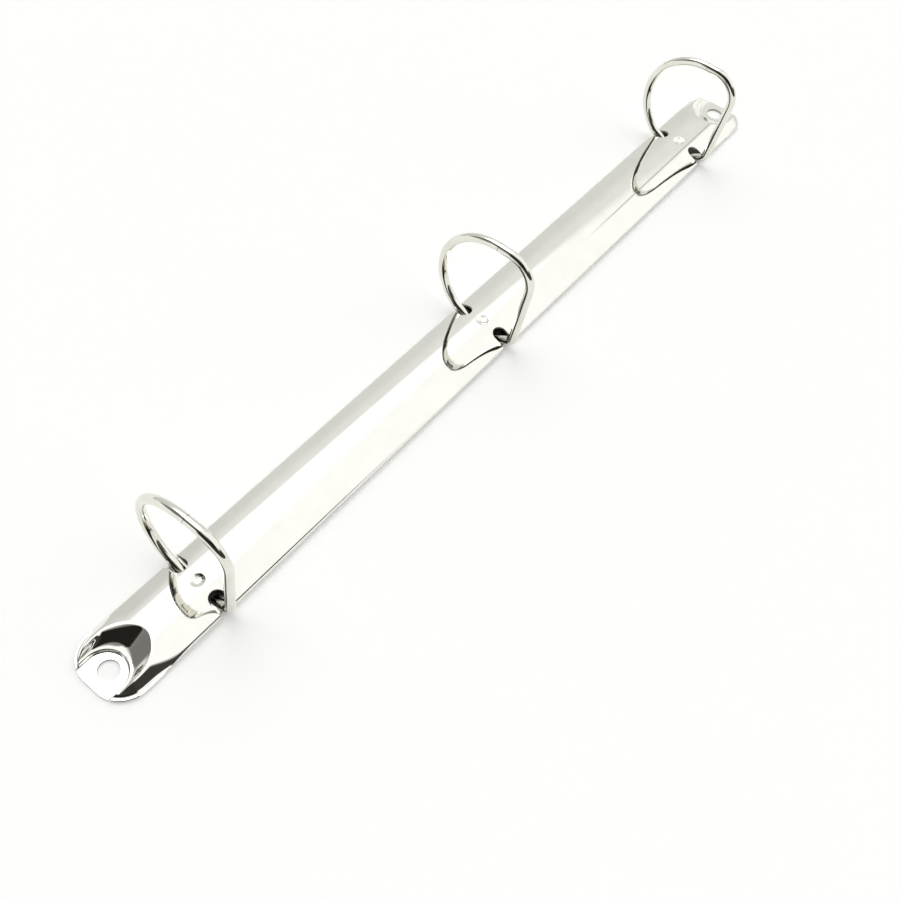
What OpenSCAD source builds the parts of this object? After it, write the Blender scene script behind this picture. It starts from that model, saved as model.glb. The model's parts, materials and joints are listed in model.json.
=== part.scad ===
// Three-ring binder mechanism with leaning D-shaped rings.
// X runs along the cover, +Y is the side of the round half rings, Z = 0 is the underside.
// The rings are modelled closed.

/* [Cover] */
// Width across the two side folds
cover_width = 19.2; // [18.4:0.1:22]
// Height of the crown above the underside
cover_height = 4.4; // [4.2:0.1:5.5]
// Thickness of the cover sheet
sheet = 0.6; // [0.4:0.05:0.7]
// Flat length of the lip that is turned in under each side
lip_length = 1; // [0.6:0.1:1.4]
// Radius of the four corners in plan
corner_r = 7.5; // [4:0.1:8]

/* [Ring stations] */
// Distance from one ring to the next
pitch = 107.95; // [60:0.05:140]
// Distance from an outer ring to the end of the cover
end_overhang = 31.75; // [27:0.05:50]
// Width of the slots that the rings pass through
slot_width = 4.4; // [3.6:0.1:6]
// Distance from the centre line to the inner end of a slot
slot_reach = 4.2; // [3.4:0.1:4.8]
// Diameter of the dimple pressed into the crown at each station
dimple_d = 3.8; // [2:0.1:5]
// Depth of that dimple
dimple_depth = 0.6; // [0.2:0.05:0.7]

/* [Fixing ends] */
// Diameter of the fixing hole at each end
hole_d = 5.2; // [3:0.1:6]
// Distance from the end of the cover to the centre of that hole
hole_inset = 5.05; // [4:0.05:6]
// Radius of the flat floor's inner end
floor_r = 5; // [4:0.1:5.6]
// Distance from the end of the cover to the centre of that radius
floor_inset = 3.9; // [3:0.1:6]
// Height of the steep step round the floor
step_height = 0.7; // [0.3:0.05:1.2]
// Width of the ledge above that step
ledge = 0.6; // [0.3:0.05:0.9]
// Radius of the recess's rim at crown height
rim_r = 6.9; // [6.3:0.1:7.2]
// Distance from the end of the cover to the centre of that rim
rim_inset = 8.7; // [6:0.1:9.5]

/* [Hinge plates] */
// Thickness of a hinge plate
plate_t = 0.8; // [0.6:0.05:0.9]
// Distance from the end of the cover to the end of a hinge plate
plate_inset = 18.2; // [17.6:0.1:24]
// Downward slope of the plates towards the middle when the rings are closed
closed_tilt = 4; // [2:0.1:4.6]
// Clearance round a plate's outer edge in the cover's fold
edge_clearance = 0.2; // [0.1:0.01:0.3]
// Gap between the two plates along the middle
middle_gap = 0.4; // [0.3:0.05:0.8]
// Length of the fingers that interlock along the middle
finger_length = 6; // [3:0.1:12]
// Reach of a finger past the middle
finger_reach = 1.1; // [0.5:0.1:1.5]
// Clearance round a finger in the other plate's notch
finger_clearance = 0.35; // [0.3:0.05:0.6]

/* [Rings] */
// Diameter of the ring wire
wire_d = 2.5; // [2.2:0.1:2.9]
// Bend radius of the round half, which sets the height of the ring
round_bend_r = 16.6; // [14.6:0.1:20]
// Turn of that bend
round_turn = 139.4; // [134:0.1:143]
// Depth to which that bend, drawn on as a circle, would dip below the underside
ring_sink = 0.1; // [-0.5:0.1:0.8]
// Sideways place of the seam between the two halves
seam_y = -0.9; // [-1.5:0.1:0.2]
// Gap at the seam
seam_gap = 0.12; // [0.08:0.01:0.3]
// Straight length of the post half's top
post_top_run = 3.2; // [2.4:0.1:3.9]
// Bend radius of the post half's top corner
post_corner_r = 7.8; // [6.5:0.1:8.5]
// Lean of the straight post away from upright
post_lean = 4.1; // [3:0.1:5.6]
// Bend radius where a wire turns in towards its plate
foot_bend_r = 3; // [2.5:0.1:3.6]
// How much the wire's radius thins in a bend
bend_thinning = 0.01; // [0.01:0.005:0.03]
// Straight length between the round half's two bends
round_bend_gap = 0.4; // [0.3:0.1:1]
// Height of the centre of the post half's foot bend
post_bend_z = 5.4; // [5.1:0.1:5.8]
// Distance from the hinge axis to the round half's tenon
round_tenon_inset = 3.35; // [2.6:0.05:4]
// Distance from the hinge axis to the post half's tenon
post_tenon_inset = 2.1; // [1.6:0.05:2.6]
// Length of the pointed tip on the post half
tip_length = 0.8; // [0.4:0.1:1.2]
// Diameter of that tip at its base
tip_d = 1.5; // [1:0.1:1.8]
// Clearance of the tip in its socket
tip_clearance = 0.1; // [0.06:0.01:0.2]
// Diameter of the tenon that is staked through the plate
tenon_d = 1.8; // [1.2:0.1:2]
// Radial clearance of the tenon in its hole
tenon_clearance = 0.02; // [0.01:0.01:0.1]
// Diameter of the tenon's peened head
head_d = 2.6; // [2.2:0.1:3]
// Thickness of that head
head_t = 0.25; // [0.15:0.05:0.3]

/* [Hidden] */
$fn = 64;

eps = 0.01;
far_off = 60;
// Straight runs of wire lap into the thinner bends by this much
lap = 0.12;
stations = [-pitch, 0, pitch];
cover_length = 2 * (pitch + end_overhang);
fold_in = plate_t / 2 + edge_clearance;
fold_out = fold_in + sheet;
pivot_y = cover_width / 2 - fold_out;
pivot_z = fold_out;
// The arch touches both folds: its radius follows from the width and the crown height
arch_r = (pivot_y ^ 2 + cover_height ^ 2 - 2 * cover_height * fold_out) / (2 * (cover_height - 2 * fold_out));
plate_length = cover_length - 2 * plate_inset;
plate_reach = (pivot_y - middle_gap / 2) / cos(closed_tilt);
finger_pitch = pitch / 2;
tenon_r = tenon_d / 2;
wire_r = wire_d / 2;
ring_top = 2 * round_bend_r - ring_sink;

// Wires are drawn in the plane of their ring: the first coordinate is the distance outwards from
// the middle, the second is the height. A stretch is [run] or [bend radius, clockwise turn].
function ahead(at, heading, run) = at + run * [cos(heading), sin(heading)];
function bend_centre(at, heading, r) = ahead(at, heading - 90, r);
function after(at, heading, stretch) =
    len(stretch) == 1
        ? ahead(at, heading, stretch[0])
        : ahead(bend_centre(at, heading, stretch[0]), heading - stretch[1] + 90, stretch[0]);
function turned(heading, stretch) = len(stretch) == 1 ? heading : heading - stretch[1];
function rest(list) = [for (i = [1:1:len(list) - 1]) list[i]];
function path_end(at, heading, path) =
    len(path) == 0 ? at : path_end(after(at, heading, path[0]), turned(heading, path[0]), rest(path));

// Point of a plate's upper face at a distance from the middle
function on_plate(y) =
    [y, pivot_z - (pivot_y - y) * tan(closed_tilt) + plate_t / 2 / cos(closed_tilt)];
round_tenon = on_plate(pivot_y - round_tenon_inset);
post_tenon = on_plate(pivot_y - post_tenon_inset);

// A foot leaves its bend as the tangent that runs to the tenon
function foot_slope(centre, tenon) =
    atan2(centre[1] - tenon[1], centre[0] - tenon[0]) - asin(foot_bend_r / norm(centre - tenon));
function foot_run(centre, tenon) = sqrt(norm(centre - tenon) ^ 2 - foot_bend_r ^ 2) + wire_r;
function foot(centre, tenon, turned_so_far) = [
    [foot_bend_r, 180 - foot_slope(centre, tenon) - turned_so_far],
    [foot_run(centre, tenon)],
];

// Round half: one wide bend, a short run, then a tight bend into the foot
round_start = [seam_y + seam_gap / 2, ring_top];
round_bends = [[round_bend_r, round_turn], [round_bend_gap]];
round_foot_centre = bend_centre(path_end(round_start, 0, round_bends), -round_turn, foot_bend_r);
round_path = concat(round_bends, foot(round_foot_centre, round_tenon, round_turn));

// Post half: a short top, a corner, the leaning post and a tight bend into the foot
post_start = [-seam_y + seam_gap / 2, ring_top];
post_turn = 90 + post_lean;
post_drop = ring_top - post_corner_r * (1 + sin(post_lean)) + foot_bend_r * sin(post_lean) - post_bend_z;
post_bends = [[post_top_run], [post_corner_r, post_turn], [post_drop / cos(post_lean)]];
post_foot_centre = bend_centre(path_end(post_start, 0, post_bends), -post_turn, foot_bend_r);
post_path = concat(post_bends, foot(post_foot_centre, post_tenon, post_turn));

// Cover section, full or hollow: arch, side folds and the space between the lips
module arch_section(inset) {
    r = arch_r - inset;
    centre_z = cover_height - arch_r;
    fold = fold_out - inset;
    wedge_scale = far_off / (pivot_z - centre_z);
    intersection() {
        translate([0, centre_z])
            circle(r, $fn = 180);
        translate([0, centre_z])
            polygon([
                [0, 0],
                [pivot_y * wedge_scale, far_off],
                [-pivot_y * wedge_scale, far_off],
            ]);
        translate([-far_off, inset])
            square([2 * far_off, far_off]);
    }
    translate([-pivot_y, inset])
        square([2 * pivot_y, pivot_z - inset]);
    for (side = [-1, 1])
        translate([side * pivot_y, pivot_z])
            circle(fold);
}

// Body of the cover from its section: straight sides, round corners and flat ends
module formed_body() {
    straight_x = cover_length / 2 - corner_r;
    straight_y = cover_width / 2 - corner_r;
    rotate([90, 0, 90])
        linear_extrude(height = 2 * straight_x, center = true)
            children();
    for (turn = [0, 180])
        rotate(turn) {
            translate([straight_x, 0, 0])
                rotate([90, 0, 0])
                    linear_extrude(height = 2 * straight_y, center = true)
                        outer_section(straight_y)
                            children();
            for (side = [-1, 1])
                translate([straight_x, side * straight_y, 0])
                    rotate(side < 0 ? -90 : 0)
                        rotate_extrude(angle = 90)
                            outer_section(straight_y)
                                children();
        }
}

// Part of a section beyond a distance from the middle, moved in to the axis
module outer_section(from) {
    intersection() {
        translate([-from, 0])
            children();
        translate([0, -far_off])
            square([far_off, 2 * far_off]);
    }
}

// Recess at one end: floor, steep step, ledge and a wall that slopes up to the rim
module recess(grow, drop) {
    floor_z = sheet - drop;
    ledge_z = floor_z + step_height;
    ledge_r = floor_r + ledge;
    floor_x = cover_length / 2 - floor_inset;
    rim_x = cover_length / 2 - rim_inset;
    translate([floor_x, 0, floor_z]) {
        cylinder(h = cover_height, r = floor_r + grow);
        translate([0, -floor_r - grow, 0])
            cube([far_off, 2 * (floor_r + grow), cover_height]);
    }
    hull()
        for (shift = [0, far_off]) {
            translate([floor_x + shift, 0, ledge_z])
                cylinder(h = eps, r = ledge_r + grow);
            translate([rim_x + shift, 0, cover_height - drop])
                cylinder(h = cover_height, r = rim_r + grow);
        }
}

module both_ends() {
    children();
    mirror([1, 0, 0])
        children();
}

module slots() {
    r = slot_width / 2;
    for (x = stations, side = [-1, 1])
        translate([x, 0, -eps])
            linear_extrude(height = cover_height + 1)
                translate([0, side * (slot_reach + r)]) {
                    circle(r);
                    translate([-r, min(0, side * cover_width)])
                        square([slot_width, cover_width]);
                }
}

// Ball that presses the dimples; a larger one gives the bulge under the sheet
module dimple_balls(grow) {
    ball_r = ((dimple_d / 2) ^ 2 + dimple_depth ^ 2) / (2 * dimple_depth);
    for (x = stations)
        translate([x, 0, cover_height - dimple_depth + ball_r])
            sphere(ball_r + grow);
}

module cover() {
    color("gainsboro")
        difference() {
            formed_body()
                arch_section(0);
            difference() {
                formed_body() {
                    arch_section(sheet);
                    translate([lip_length - pivot_y, -1])
                        square([2 * (pivot_y - lip_length), 1 + pivot_z]);
                }
                both_ends()
                    recess(sheet, sheet + eps);
                dimple_balls(sheet);
            }
            both_ends()
                recess(0, 0);
            dimple_balls(0);
            slots();
            both_ends()
                translate([cover_length / 2 - hole_inset, 0, -eps])
                    cylinder(h = cover_height, d = hole_d);
        }
}

// Hinge plate in the place of the round side, with its own fingers and notches for the other's
module hinge_plate(tenon, own_fingers, other_fingers) {
    tenon_v = (tenon[0] - pivot_y + plate_t / 2 * sin(closed_tilt)) / cos(closed_tilt);
    finger_out = finger_reach + middle_gap / 2;
    notch_depth = finger_reach - middle_gap / 2 + finger_clearance;
    notch_length = finger_length + 2 * finger_clearance;
    translate([0, pivot_y, pivot_z])
        rotate([closed_tilt, 0, 0])
            difference() {
                union() {
                    translate([-plate_length / 2, -plate_reach, -plate_t / 2])
                        cube([plate_length, plate_reach, plate_t]);
                    rotate([0, 90, 0])
                        cylinder(h = plate_length, d = plate_t, center = true);
                    for (x = own_fingers)
                        translate([x - finger_length / 2, -plate_reach - finger_out, -plate_t / 2])
                            cube([finger_length, finger_out + eps, plate_t]);
                }
                for (x = other_fingers)
                    translate([x - notch_length / 2, -plate_reach - eps, -plate_t])
                        cube([notch_length, notch_depth + eps, 2 * plate_t]);
                for (x = stations)
                    translate([x, tenon_v, 0])
                        cylinder(h = 2 * plate_t, r = tenon_r + tenon_clearance, center = true);
            }
}

module hinge_plate_round() {
    color("silver")
        hinge_plate(round_tenon, [-1.5, 0.5] * finger_pitch, [-0.5, 1.5] * finger_pitch);
}

module hinge_plate_post() {
    color("silver")
        mirror([0, 1, 0])
            hinge_plate(post_tenon, [-0.5, 1.5] * finger_pitch, [-1.5, 0.5] * finger_pitch);
}

// Wire along a path of straight runs and clockwise bends; only its two ends have no lap
module wire(at, heading, path, first = true) {
    if (len(path) > 0) {
        stretch = path[0];
        lap_before = first ? 0 : lap;
        lap_after = len(path) == 1 ? 0 : lap;
        if (len(stretch) == 1)
            translate(ahead(at, heading, -lap_before))
                rotate(heading)
                    rotate([0, 90, 0])
                        cylinder(h = stretch[0] + lap_before + lap_after, r = wire_r);
        else
            translate(bend_centre(at, heading, stretch[0]))
                rotate(heading + 90 - stretch[1])
                    rotate_extrude(angle = stretch[1])
                        translate([stretch[0], 0])
                            circle(wire_r - bend_thinning);
        wire(after(at, heading, stretch), turned(heading, stretch), rest(path), false);
    }
}

// Half ring in its own plane: the foot is flat on the plate and its tenon is peened underneath
module half_ring(start, path, tenon) {
    difference() {
        wire(start, 0, path);
        translate([pivot_y, pivot_z])
            rotate(closed_tilt)
                translate([-far_off, plate_t / 2 - far_off, -far_off / 2])
                    cube([2 * far_off, far_off, far_off]);
    }
    translate(tenon)
        rotate([90, 0, closed_tilt]) {
            translate([0, 0, -wire_r / 2])
                cylinder(h = wire_r / 2 + plate_t + head_t, r = tenon_r);
            translate([0, 0, plate_t])
                cylinder(h = head_t, d = head_d);
        }
}

module at_station(x, side) {
    translate([x, 0, 0])
        rotate([90, 0, 90])
            mirror([side < 0 ? 1 : 0, 0, 0])
                children();
}

module round_half(x) {
    socket_length = tip_length + tip_clearance - seam_gap;
    socket_r = tip_d / 2 + tip_clearance;
    color("gainsboro")
        at_station(x, 1)
            difference() {
                half_ring(round_start, round_path, round_tenon);
                translate(round_start)
                    rotate([0, 90, 0])
                        translate([0, 0, -eps])
                            cylinder(h = socket_length, r1 = socket_r, r2 = socket_r / 2);
            }
}

module post_half(x) {
    color("gainsboro")
        at_station(x, -1) {
            half_ring(post_start, post_path, post_tenon);
            translate(post_start)
                rotate([0, -90, 0])
                    cylinder(h = tip_length, d1 = tip_d, d2 = tip_d / 2);
        }
}

module round_half_near() {
    round_half(stations[0]);
}

module round_half_middle() {
    round_half(stations[1]);
}

module round_half_far() {
    round_half(stations[2]);
}

module post_half_near() {
    post_half(stations[0]);
}

module post_half_middle() {
    post_half(stations[1]);
}

module post_half_far() {
    post_half(stations[2]);
}

cover();
hinge_plate_round();
hinge_plate_post();
round_half_near();
round_half_middle();
round_half_far();
post_half_near();
post_half_middle();
post_half_far();
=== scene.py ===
"""Looks of a three-ring binder mechanism with slanted D rings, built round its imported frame."""
import json
import logging
import math
from dataclasses import dataclass
from enum import Enum

import bmesh
import bpy
import numpy as np
from mathutils import Matrix, Vector

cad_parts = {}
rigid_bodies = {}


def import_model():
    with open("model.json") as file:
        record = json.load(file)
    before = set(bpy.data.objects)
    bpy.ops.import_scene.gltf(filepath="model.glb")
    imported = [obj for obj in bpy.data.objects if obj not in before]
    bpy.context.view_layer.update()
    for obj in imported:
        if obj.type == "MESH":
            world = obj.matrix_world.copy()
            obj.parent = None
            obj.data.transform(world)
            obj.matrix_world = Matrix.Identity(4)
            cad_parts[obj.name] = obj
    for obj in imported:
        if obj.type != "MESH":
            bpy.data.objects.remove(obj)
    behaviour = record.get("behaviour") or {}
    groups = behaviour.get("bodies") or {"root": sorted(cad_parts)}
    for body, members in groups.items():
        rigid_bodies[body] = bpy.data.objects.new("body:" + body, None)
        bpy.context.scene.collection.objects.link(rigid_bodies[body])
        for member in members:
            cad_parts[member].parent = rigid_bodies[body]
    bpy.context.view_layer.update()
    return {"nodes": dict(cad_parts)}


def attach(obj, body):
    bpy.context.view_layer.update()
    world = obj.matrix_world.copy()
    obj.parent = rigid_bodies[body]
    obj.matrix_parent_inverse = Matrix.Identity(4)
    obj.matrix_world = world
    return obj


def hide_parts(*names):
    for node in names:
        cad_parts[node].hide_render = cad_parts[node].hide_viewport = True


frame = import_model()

MM = 0.001
LOG = logging.getLogger("ring_mechanism")

# How fine round things are built, and how close points become one
WIRE_FACETS = 32
CUTTER_FACETS = 64
MERGE = 0.002 * MM

# Patterns of the plating: patches and marks per metre, their detail, the span of the noise that is
# used, and the heights of the ripple and of the marks
CLOUD_SCALE, CLOUD_DETAIL, CLOUD_SPAN = 160.0, 3.0, (0.35, 0.65)
SCUFF_SCALE, SCUFF_DETAIL, SCUFF_SPAN = 2400.0, 4.0, (0.35, 0.75)
RIPPLE_DETAIL, RIPPLE_HEIGHT = 1.0, 0.05 * MM
MARK_HEIGHT = 0.004 * MM

# Colour sockets of a Mix node
MIX_UNDER, MIX_OVER, MIX_RESULT = 6, 7, 2

# What a node's input takes: another node's output, or a constant
Socket = bpy.types.NodeSocket
Value = Socket | bool | int | float | tuple[float, ...]


class Side(Enum):
    """The two sides of the cover, by the half rings that come out there."""

    ROUND = 1
    POST = -1


class Grain(Enum):
    """Which way the fine polish marks of a plated piece run."""

    ALONG_X = (0.04, 1.0, 1.0)
    EVEN = (1.0, 1.0, 1.0)


@dataclass
class Graph:
    """A node tree, with short ways to add to it.

    Attributes:
        tree: The tree.
    """

    tree: bpy.types.NodeTree

    def feed(self, node: bpy.types.Node, values: dict[str | int, Value]) -> None:
        """Set a node's inputs.

        Args:
            node: The node.
            values: A value, or another node's output, for each input by name or number.
        """
        for key, value in values.items():
            if isinstance(value, Socket):
                self.tree.links.new(value, node.inputs[key])
            else:
                node.inputs[key].default_value = value

    def add(self, kind: str, values: dict[str | int, Value] | None = None, **settings: str) -> bpy.types.Node:
        """Add a node.

        Args:
            kind: Type of the node.
            values: A value, or another node's output, for each input by name or number.
            **settings: The node's own settings.

        Returns:
            The node.
        """
        node = self.tree.nodes.new(kind)
        for name, setting in settings.items():
            setattr(node, name, setting)
        self.feed(node, values or {})
        return node

    def calc(self, operation: str, *values: Value) -> Socket:
        """Add a calculation and return its result."""
        return self.add("ShaderNodeMath", dict(enumerate(values)), operation=operation).outputs[0]

    def vector(self, **parts: Socket) -> Socket:
        """Add a vector of the given parts and return it."""
        return self.add("ShaderNodeCombineXYZ", parts).outputs[0]


class MeshGraph(Graph):
    """A geometry node tree that changes one mesh.

    Attributes:
        tree: The tree.
        ids: The identifiers by which a modifier sets the named inputs.
        given: The named inputs as sockets.
    """

    def __init__(
        self, name: str, sizes: tuple[str, ...], vectors: tuple[str, ...], finishes: tuple[str, ...]
    ) -> None:
        """Start the tree.

        Args:
            name: Name of the tree.
            sizes: Names of the inputs that are lengths.
            vectors: Names of the inputs that are places or turns.
            finishes: Names of the inputs that are materials.
        """
        super().__init__(bpy.data.node_groups.new(name, "GeometryNodeTree"))
        new_socket = self.tree.interface.new_socket
        self.ids: dict[str, str] = {}
        kinds = {"Geometry": ("Mesh",), "Float": sizes, "Vector": vectors, "Material": finishes}
        for kind, names in kinds.items():
            for label in names:
                made = new_socket(name=label, in_out="INPUT", socket_type=f"NodeSocket{kind}")
                self.ids[label] = made.identifier
        new_socket(name="Mesh", in_out="OUTPUT", socket_type="NodeSocketGeometry")
        self.given = self.add("NodeGroupInput").outputs

    def apply(
        self, obj: bpy.types.Object, result: Socket, sizes: dict[str, float], others: dict[str, object]
    ) -> None:
        """Put the tree on an object.

        Args:
            obj: The object.
            result: The geometry that the tree ends with.
            sizes: What the lengths take, in millimetres.
            others: What the other named inputs take.
        """
        self.add("NodeGroupOutput", {0: result})
        modifier = obj.modifiers.new(self.tree.name, "NODES")
        modifier.node_group = self.tree
        lengths = {name: size * MM for name, size in sizes.items()}
        for name, value in (lengths | others).items():
            modifier[self.ids[name]] = value

    def scaled(self, value: Socket, factor: float) -> Socket:
        """Add a multiple of a value and return it."""
        return self.calc("MULTIPLY", value, factor)

    def moved(self, geometry: Socket, place: Value, turn: Value = (0.0, 0.0, 0.0)) -> Socket:
        """Add a turn and a move and return the geometry."""
        values = {"Geometry": geometry, "Translation": place, "Rotation": turn}
        return self.add("GeometryNodeTransform", values).outputs["Geometry"]

    def pin(self, diameter: Socket, length: Socket, facets: int) -> Socket:
        """Add an upright round pin and return it."""
        values = {"Vertices": facets, "Radius": self.scaled(diameter, 0.5), "Depth": length}
        return self.add("GeometryNodeMeshCylinder", values).outputs["Mesh"]

    def join(self, *parts: Socket) -> Socket:
        """Add several parts together.

        Args:
            *parts: The parts.

        Returns:
            The joined geometry.
        """
        node = self.add("GeometryNodeJoinGeometry")
        for part in parts:
            self.feed(node, {0: part})
        return node.outputs[0]

    def boolean(self, operation: str, first: Socket | None, *others: Socket) -> Socket:
        """Add a union or a cut.

        Args:
            operation: UNION or DIFFERENCE.
            first: What is cut, if anything.
            *others: The cutters, or the parts of the union.

        Returns:
            The mesh that results.
        """
        node = self.add("GeometryNodeMeshBoolean", operation=operation, solver="EXACT")
        if first is not None:
            self.feed(node, {"Mesh 1": first})
        for other in others:
            self.feed(node, {"Mesh 2": other})
        return node.outputs["Mesh"]

    def repeated(self, shape: Socket, count: int, start: Socket, step: Socket) -> Socket:
        """Add copies of a shape in a row.

        Args:
            shape: The shape.
            count: How many copies.
            start: Place of the first along X.
            step: Distance from one to the next.

        Returns:
            The copies as instances.
        """
        places = {"Count": count, "Start Location": self.vector(X=start), "Offset": self.vector(X=step)}
        row = self.add("GeometryNodeMeshLine", places, mode="OFFSET").outputs["Mesh"]
        copies = {"Points": row, "Instance": shape}
        return self.add("GeometryNodeInstanceOnPoints", copies).outputs["Instances"]

    def realized(self, geometry: Socket) -> Socket:
        """Add plain geometry in place of instances and return it."""
        return self.add("GeometryNodeRealizeInstances", {"Geometry": geometry}).outputs["Geometry"]

    def dressed(self, geometry: Socket, finish: str) -> Socket:
        """Add one of the finishes and return the dressed geometry."""
        values = {"Geometry": geometry, "Material": self.given[finish]}
        return self.add("GeometryNodeSetMaterial", values).outputs["Geometry"]


@dataclass(frozen=True)
class PlatedMetal:
    """A plated steel finish with fine polish marks and a slight ripple.

    Attributes:
        name: Name of the finish.
        colour: Colour of the plating.
        clouded: Colour of its slightly duller patches.
        roughness_low: Roughness of the brightest patches.
        roughness_high: Roughness of the dullest patches.
        grain: Direction of the polish marks.
        marks: Strength of the polish marks' relief.
        ripple: Strength of the sheet's slow ripple.
        ripple_scale: Ripples per metre.
    """

    name: str
    colour: tuple[float, float, float]
    clouded: tuple[float, float, float]
    roughness_low: float
    roughness_high: float
    grain: Grain
    marks: float
    ripple: float
    ripple_scale: float

    def material(self) -> bpy.types.Material:
        """Make the finish as a node material.

        Returns:
            The material, on Object coordinates.
        """
        mat = bpy.data.materials.new(self.name)
        mat.use_nodes = True
        graph = Graph(mat.node_tree)
        place = graph.add("ShaderNodeTexCoord").outputs["Object"]
        stretched = graph.add("ShaderNodeMapping", {"Vector": place, "Scale": self.grain.value}).outputs[0]

        def noise(where: Socket, scale: float, detail: float) -> Socket:
            """Add a noise and return its value."""
            values = {"Vector": where, "Scale": scale, "Detail": detail}
            return graph.add("ShaderNodeTexNoise", values).outputs["Fac"]

        tint = graph.add("ShaderNodeValToRGB", {"Fac": noise(place, CLOUD_SCALE, CLOUD_DETAIL)})
        stops = tint.color_ramp.elements
        for stop, position, colour in zip(stops, CLOUD_SPAN, (self.clouded, self.colour)):
            stop.position = position
            stop.color = (*colour, 1.0)
        scuff = noise(stretched, SCUFF_SCALE, SCUFF_DETAIL)
        gloss = graph.add("ShaderNodeMapRange", {
            "Value": scuff, "From Min": SCUFF_SPAN[0], "From Max": SCUFF_SPAN[1],
            "To Min": self.roughness_low, "To Max": self.roughness_high,
        })
        slow = graph.add("ShaderNodeBump", {
            "Height": noise(place, self.ripple_scale, RIPPLE_DETAIL),
            "Strength": self.ripple, "Distance": RIPPLE_HEIGHT,
        })
        fine = graph.add("ShaderNodeBump", {
            "Height": scuff, "Strength": self.marks, "Distance": MARK_HEIGHT,
            "Normal": slow.outputs["Normal"],
        })
        graph.feed(mat.node_tree.nodes["Principled BSDF"], {
            "Metallic": 1.0, "Base Color": tint.outputs["Color"], "Roughness": gloss.outputs["Result"],
            "Normal": fine.outputs["Normal"],
        })
        return mat


BRIGHT_NICKEL = PlatedMetal(
    "bright_nickel", (0.88, 0.875, 0.835), (0.85, 0.845, 0.80), 0.03, 0.08, Grain.ALONG_X, 0.1, 0.1, 90.0
)
RING_NICKEL = PlatedMetal(
    "ring_nickel", (0.82, 0.81, 0.745), (0.76, 0.75, 0.675), 0.05, 0.11, Grain.EVEN, 0.15, 0.15, 220.0
)
# Darker cut walls of the slots and holes: partly bare sheared steel, partly painted shade that darkens the
# shadowed walls of the holes
SHEARED_EDGE_AND_SHADE = PlatedMetal(
    "sheared_edge", (0.42, 0.41, 0.39), (0.34, 0.33, 0.31), 0.3, 0.5, Grain.EVEN, 0.5, 0.2, 220.0
)
PLAIN_PLATING = PlatedMetal(
    "plain_plating", (0.62, 0.61, 0.59), (0.52, 0.51, 0.49), 0.22, 0.42, Grain.ALONG_X, 0.5, 0.2, 120.0
)


def smooth_step(low: float, high: float, value: np.ndarray) -> np.ndarray:
    """Rise smoothly from 0 to 1.

    Args:
        low: Value where the rise begins.
        high: Value where it ends.
        value: Values to map.

    Returns:
        The mapped values.
    """
    t = np.clip((value - low) / (high - low), 0.0, 1.0)
    return t * t * (3.0 - 2.0 * t)


def rounded_min(a: np.ndarray, b: np.ndarray, width: float) -> np.ndarray:
    """Take the lower of two heights, with a rounded crest where they meet.

    Args:
        a: First heights.
        b: Second heights.
        width: Height difference within which the crest is rounded.

    Returns:
        The rounded lower heights.
    """
    h = np.maximum(width - np.abs(a - b), 0.0) / width
    return np.minimum(a, b) - h * h * width / 4.0


def rounded_max(a: np.ndarray, b: np.ndarray, width: float) -> np.ndarray:
    """Take the higher of two heights, with a rounded valley where they meet."""
    return -rounded_min(-a, -b, width)


def link_mesh(name: str, mesh: bpy.types.Mesh) -> bpy.types.Object:
    """Put a mesh into the scene as an object at the origin.

    Args:
        name: Name of the object.
        mesh: Its mesh.

    Returns:
        The object.
    """
    obj = bpy.data.objects.new(name, mesh)
    bpy.context.scene.collection.objects.link(obj)
    return obj


def plain_mesh(obj: bpy.types.Object, sharp_degrees: float) -> bpy.types.Object:
    """Turn an object with modifiers into a plain smooth mesh.

    Args:
        obj: Object whose modifiers are applied.
        sharp_degrees: Edges that turn more than this stay sharp.

    Returns:
        The same object, without modifiers.
    """
    made = bpy.data.meshes.new_from_object(obj.evaluated_get(bpy.context.evaluated_depsgraph_get()))
    made.name = obj.name
    obj.modifiers.clear()
    obj.vertex_groups.clear()
    obj.data = made
    work = bmesh.new()
    work.from_mesh(made)
    bmesh.ops.remove_doubles(work, verts=work.verts, dist=MERGE)
    bmesh.ops.recalc_face_normals(work, faces=work.faces)
    for face in work.faces:
        face.smooth = True
    work.to_mesh(made)
    work.free()
    # Cuts between undressed shapes leave an empty slot
    for index in reversed(range(len(made.materials))):
        if made.materials[index] is None:
            made.materials.pop(index=index)
    made.set_sharp_from_angle(angle=math.radians(sharp_degrees))
    return obj


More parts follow.
